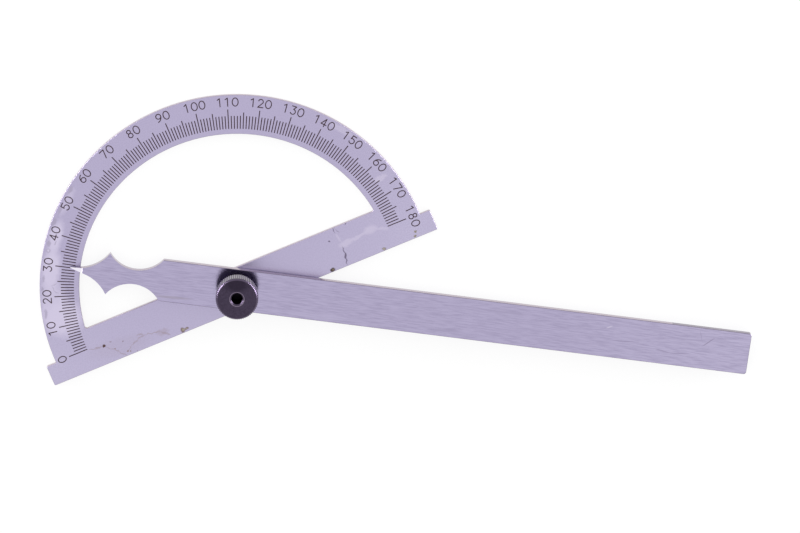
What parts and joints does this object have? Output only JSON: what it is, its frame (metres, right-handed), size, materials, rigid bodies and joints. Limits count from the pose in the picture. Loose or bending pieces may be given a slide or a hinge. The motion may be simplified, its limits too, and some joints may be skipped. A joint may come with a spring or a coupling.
{
  "type": "bevel protractor",
  "caption": "Flat protractor with a graduated half ring on a straight base, and a pointed blade that turns on a pivot and is clamped by a tall knurled nut.",
  "frame": {"origin": "where the pivot axis meets the flat back of the head, which is the resting plane", "axes": "+X along the base and towards the 180 end of the scale, +Y from the base into the arc, +Z along the pivot axis out of the graduated face"},
  "size_m": [0.2525, 0.1806, 0.0198],
  "materials": {
    "head_steel": "satin stainless sheet, fine even grain",
    "screw_steel": "turned and faced steel",
    "drag_washer_brass": "rolled shim",
    "blade_steel": "stainless bar brushed along its length",
    "washer_steel": "bright stamped steel",
    "spring_steel": "tempered spring steel",
    "nut_steel": "turned steel with a black oxide coat, knurled rim"
  },
  "bodies": {
    "head": {"protractor_plate": "head_steel", "pivot_screw": "screw_steel", "drag_washer": "drag_washer_brass"},
    "blade": {"blade": "blade_steel", "flat_washer": "washer_steel"},
    "nut_lift": {"spring_washer": "spring_steel"},
    "nut": {"knurled_nut": "nut_steel"}
  },
  "joints": [
    {"name": "blade_swing", "type": "hinge", "parent": "head", "child": "blade", "pos_m": [0, 0, 0.004], "axis": [0, 0, -1], "continuous": true},
    {"name": "nut_rise", "type": "slide", "parent": "head", "child": "nut_lift", "axis": [0, 0, 1], "range_m": [0, 0.0012]},
    {"name": "nut_turn", "type": "hinge", "parent": "nut_lift", "child": "nut", "pos_m": [0, 0, 0.0139], "axis": [0, 0, 1], "range_deg": [0, 540]}
  ],
  "couplings": [
    {"joint": "nut_rise", "follows": "nut_turn", "m_per_rad": 0.0001273}
  ]
}
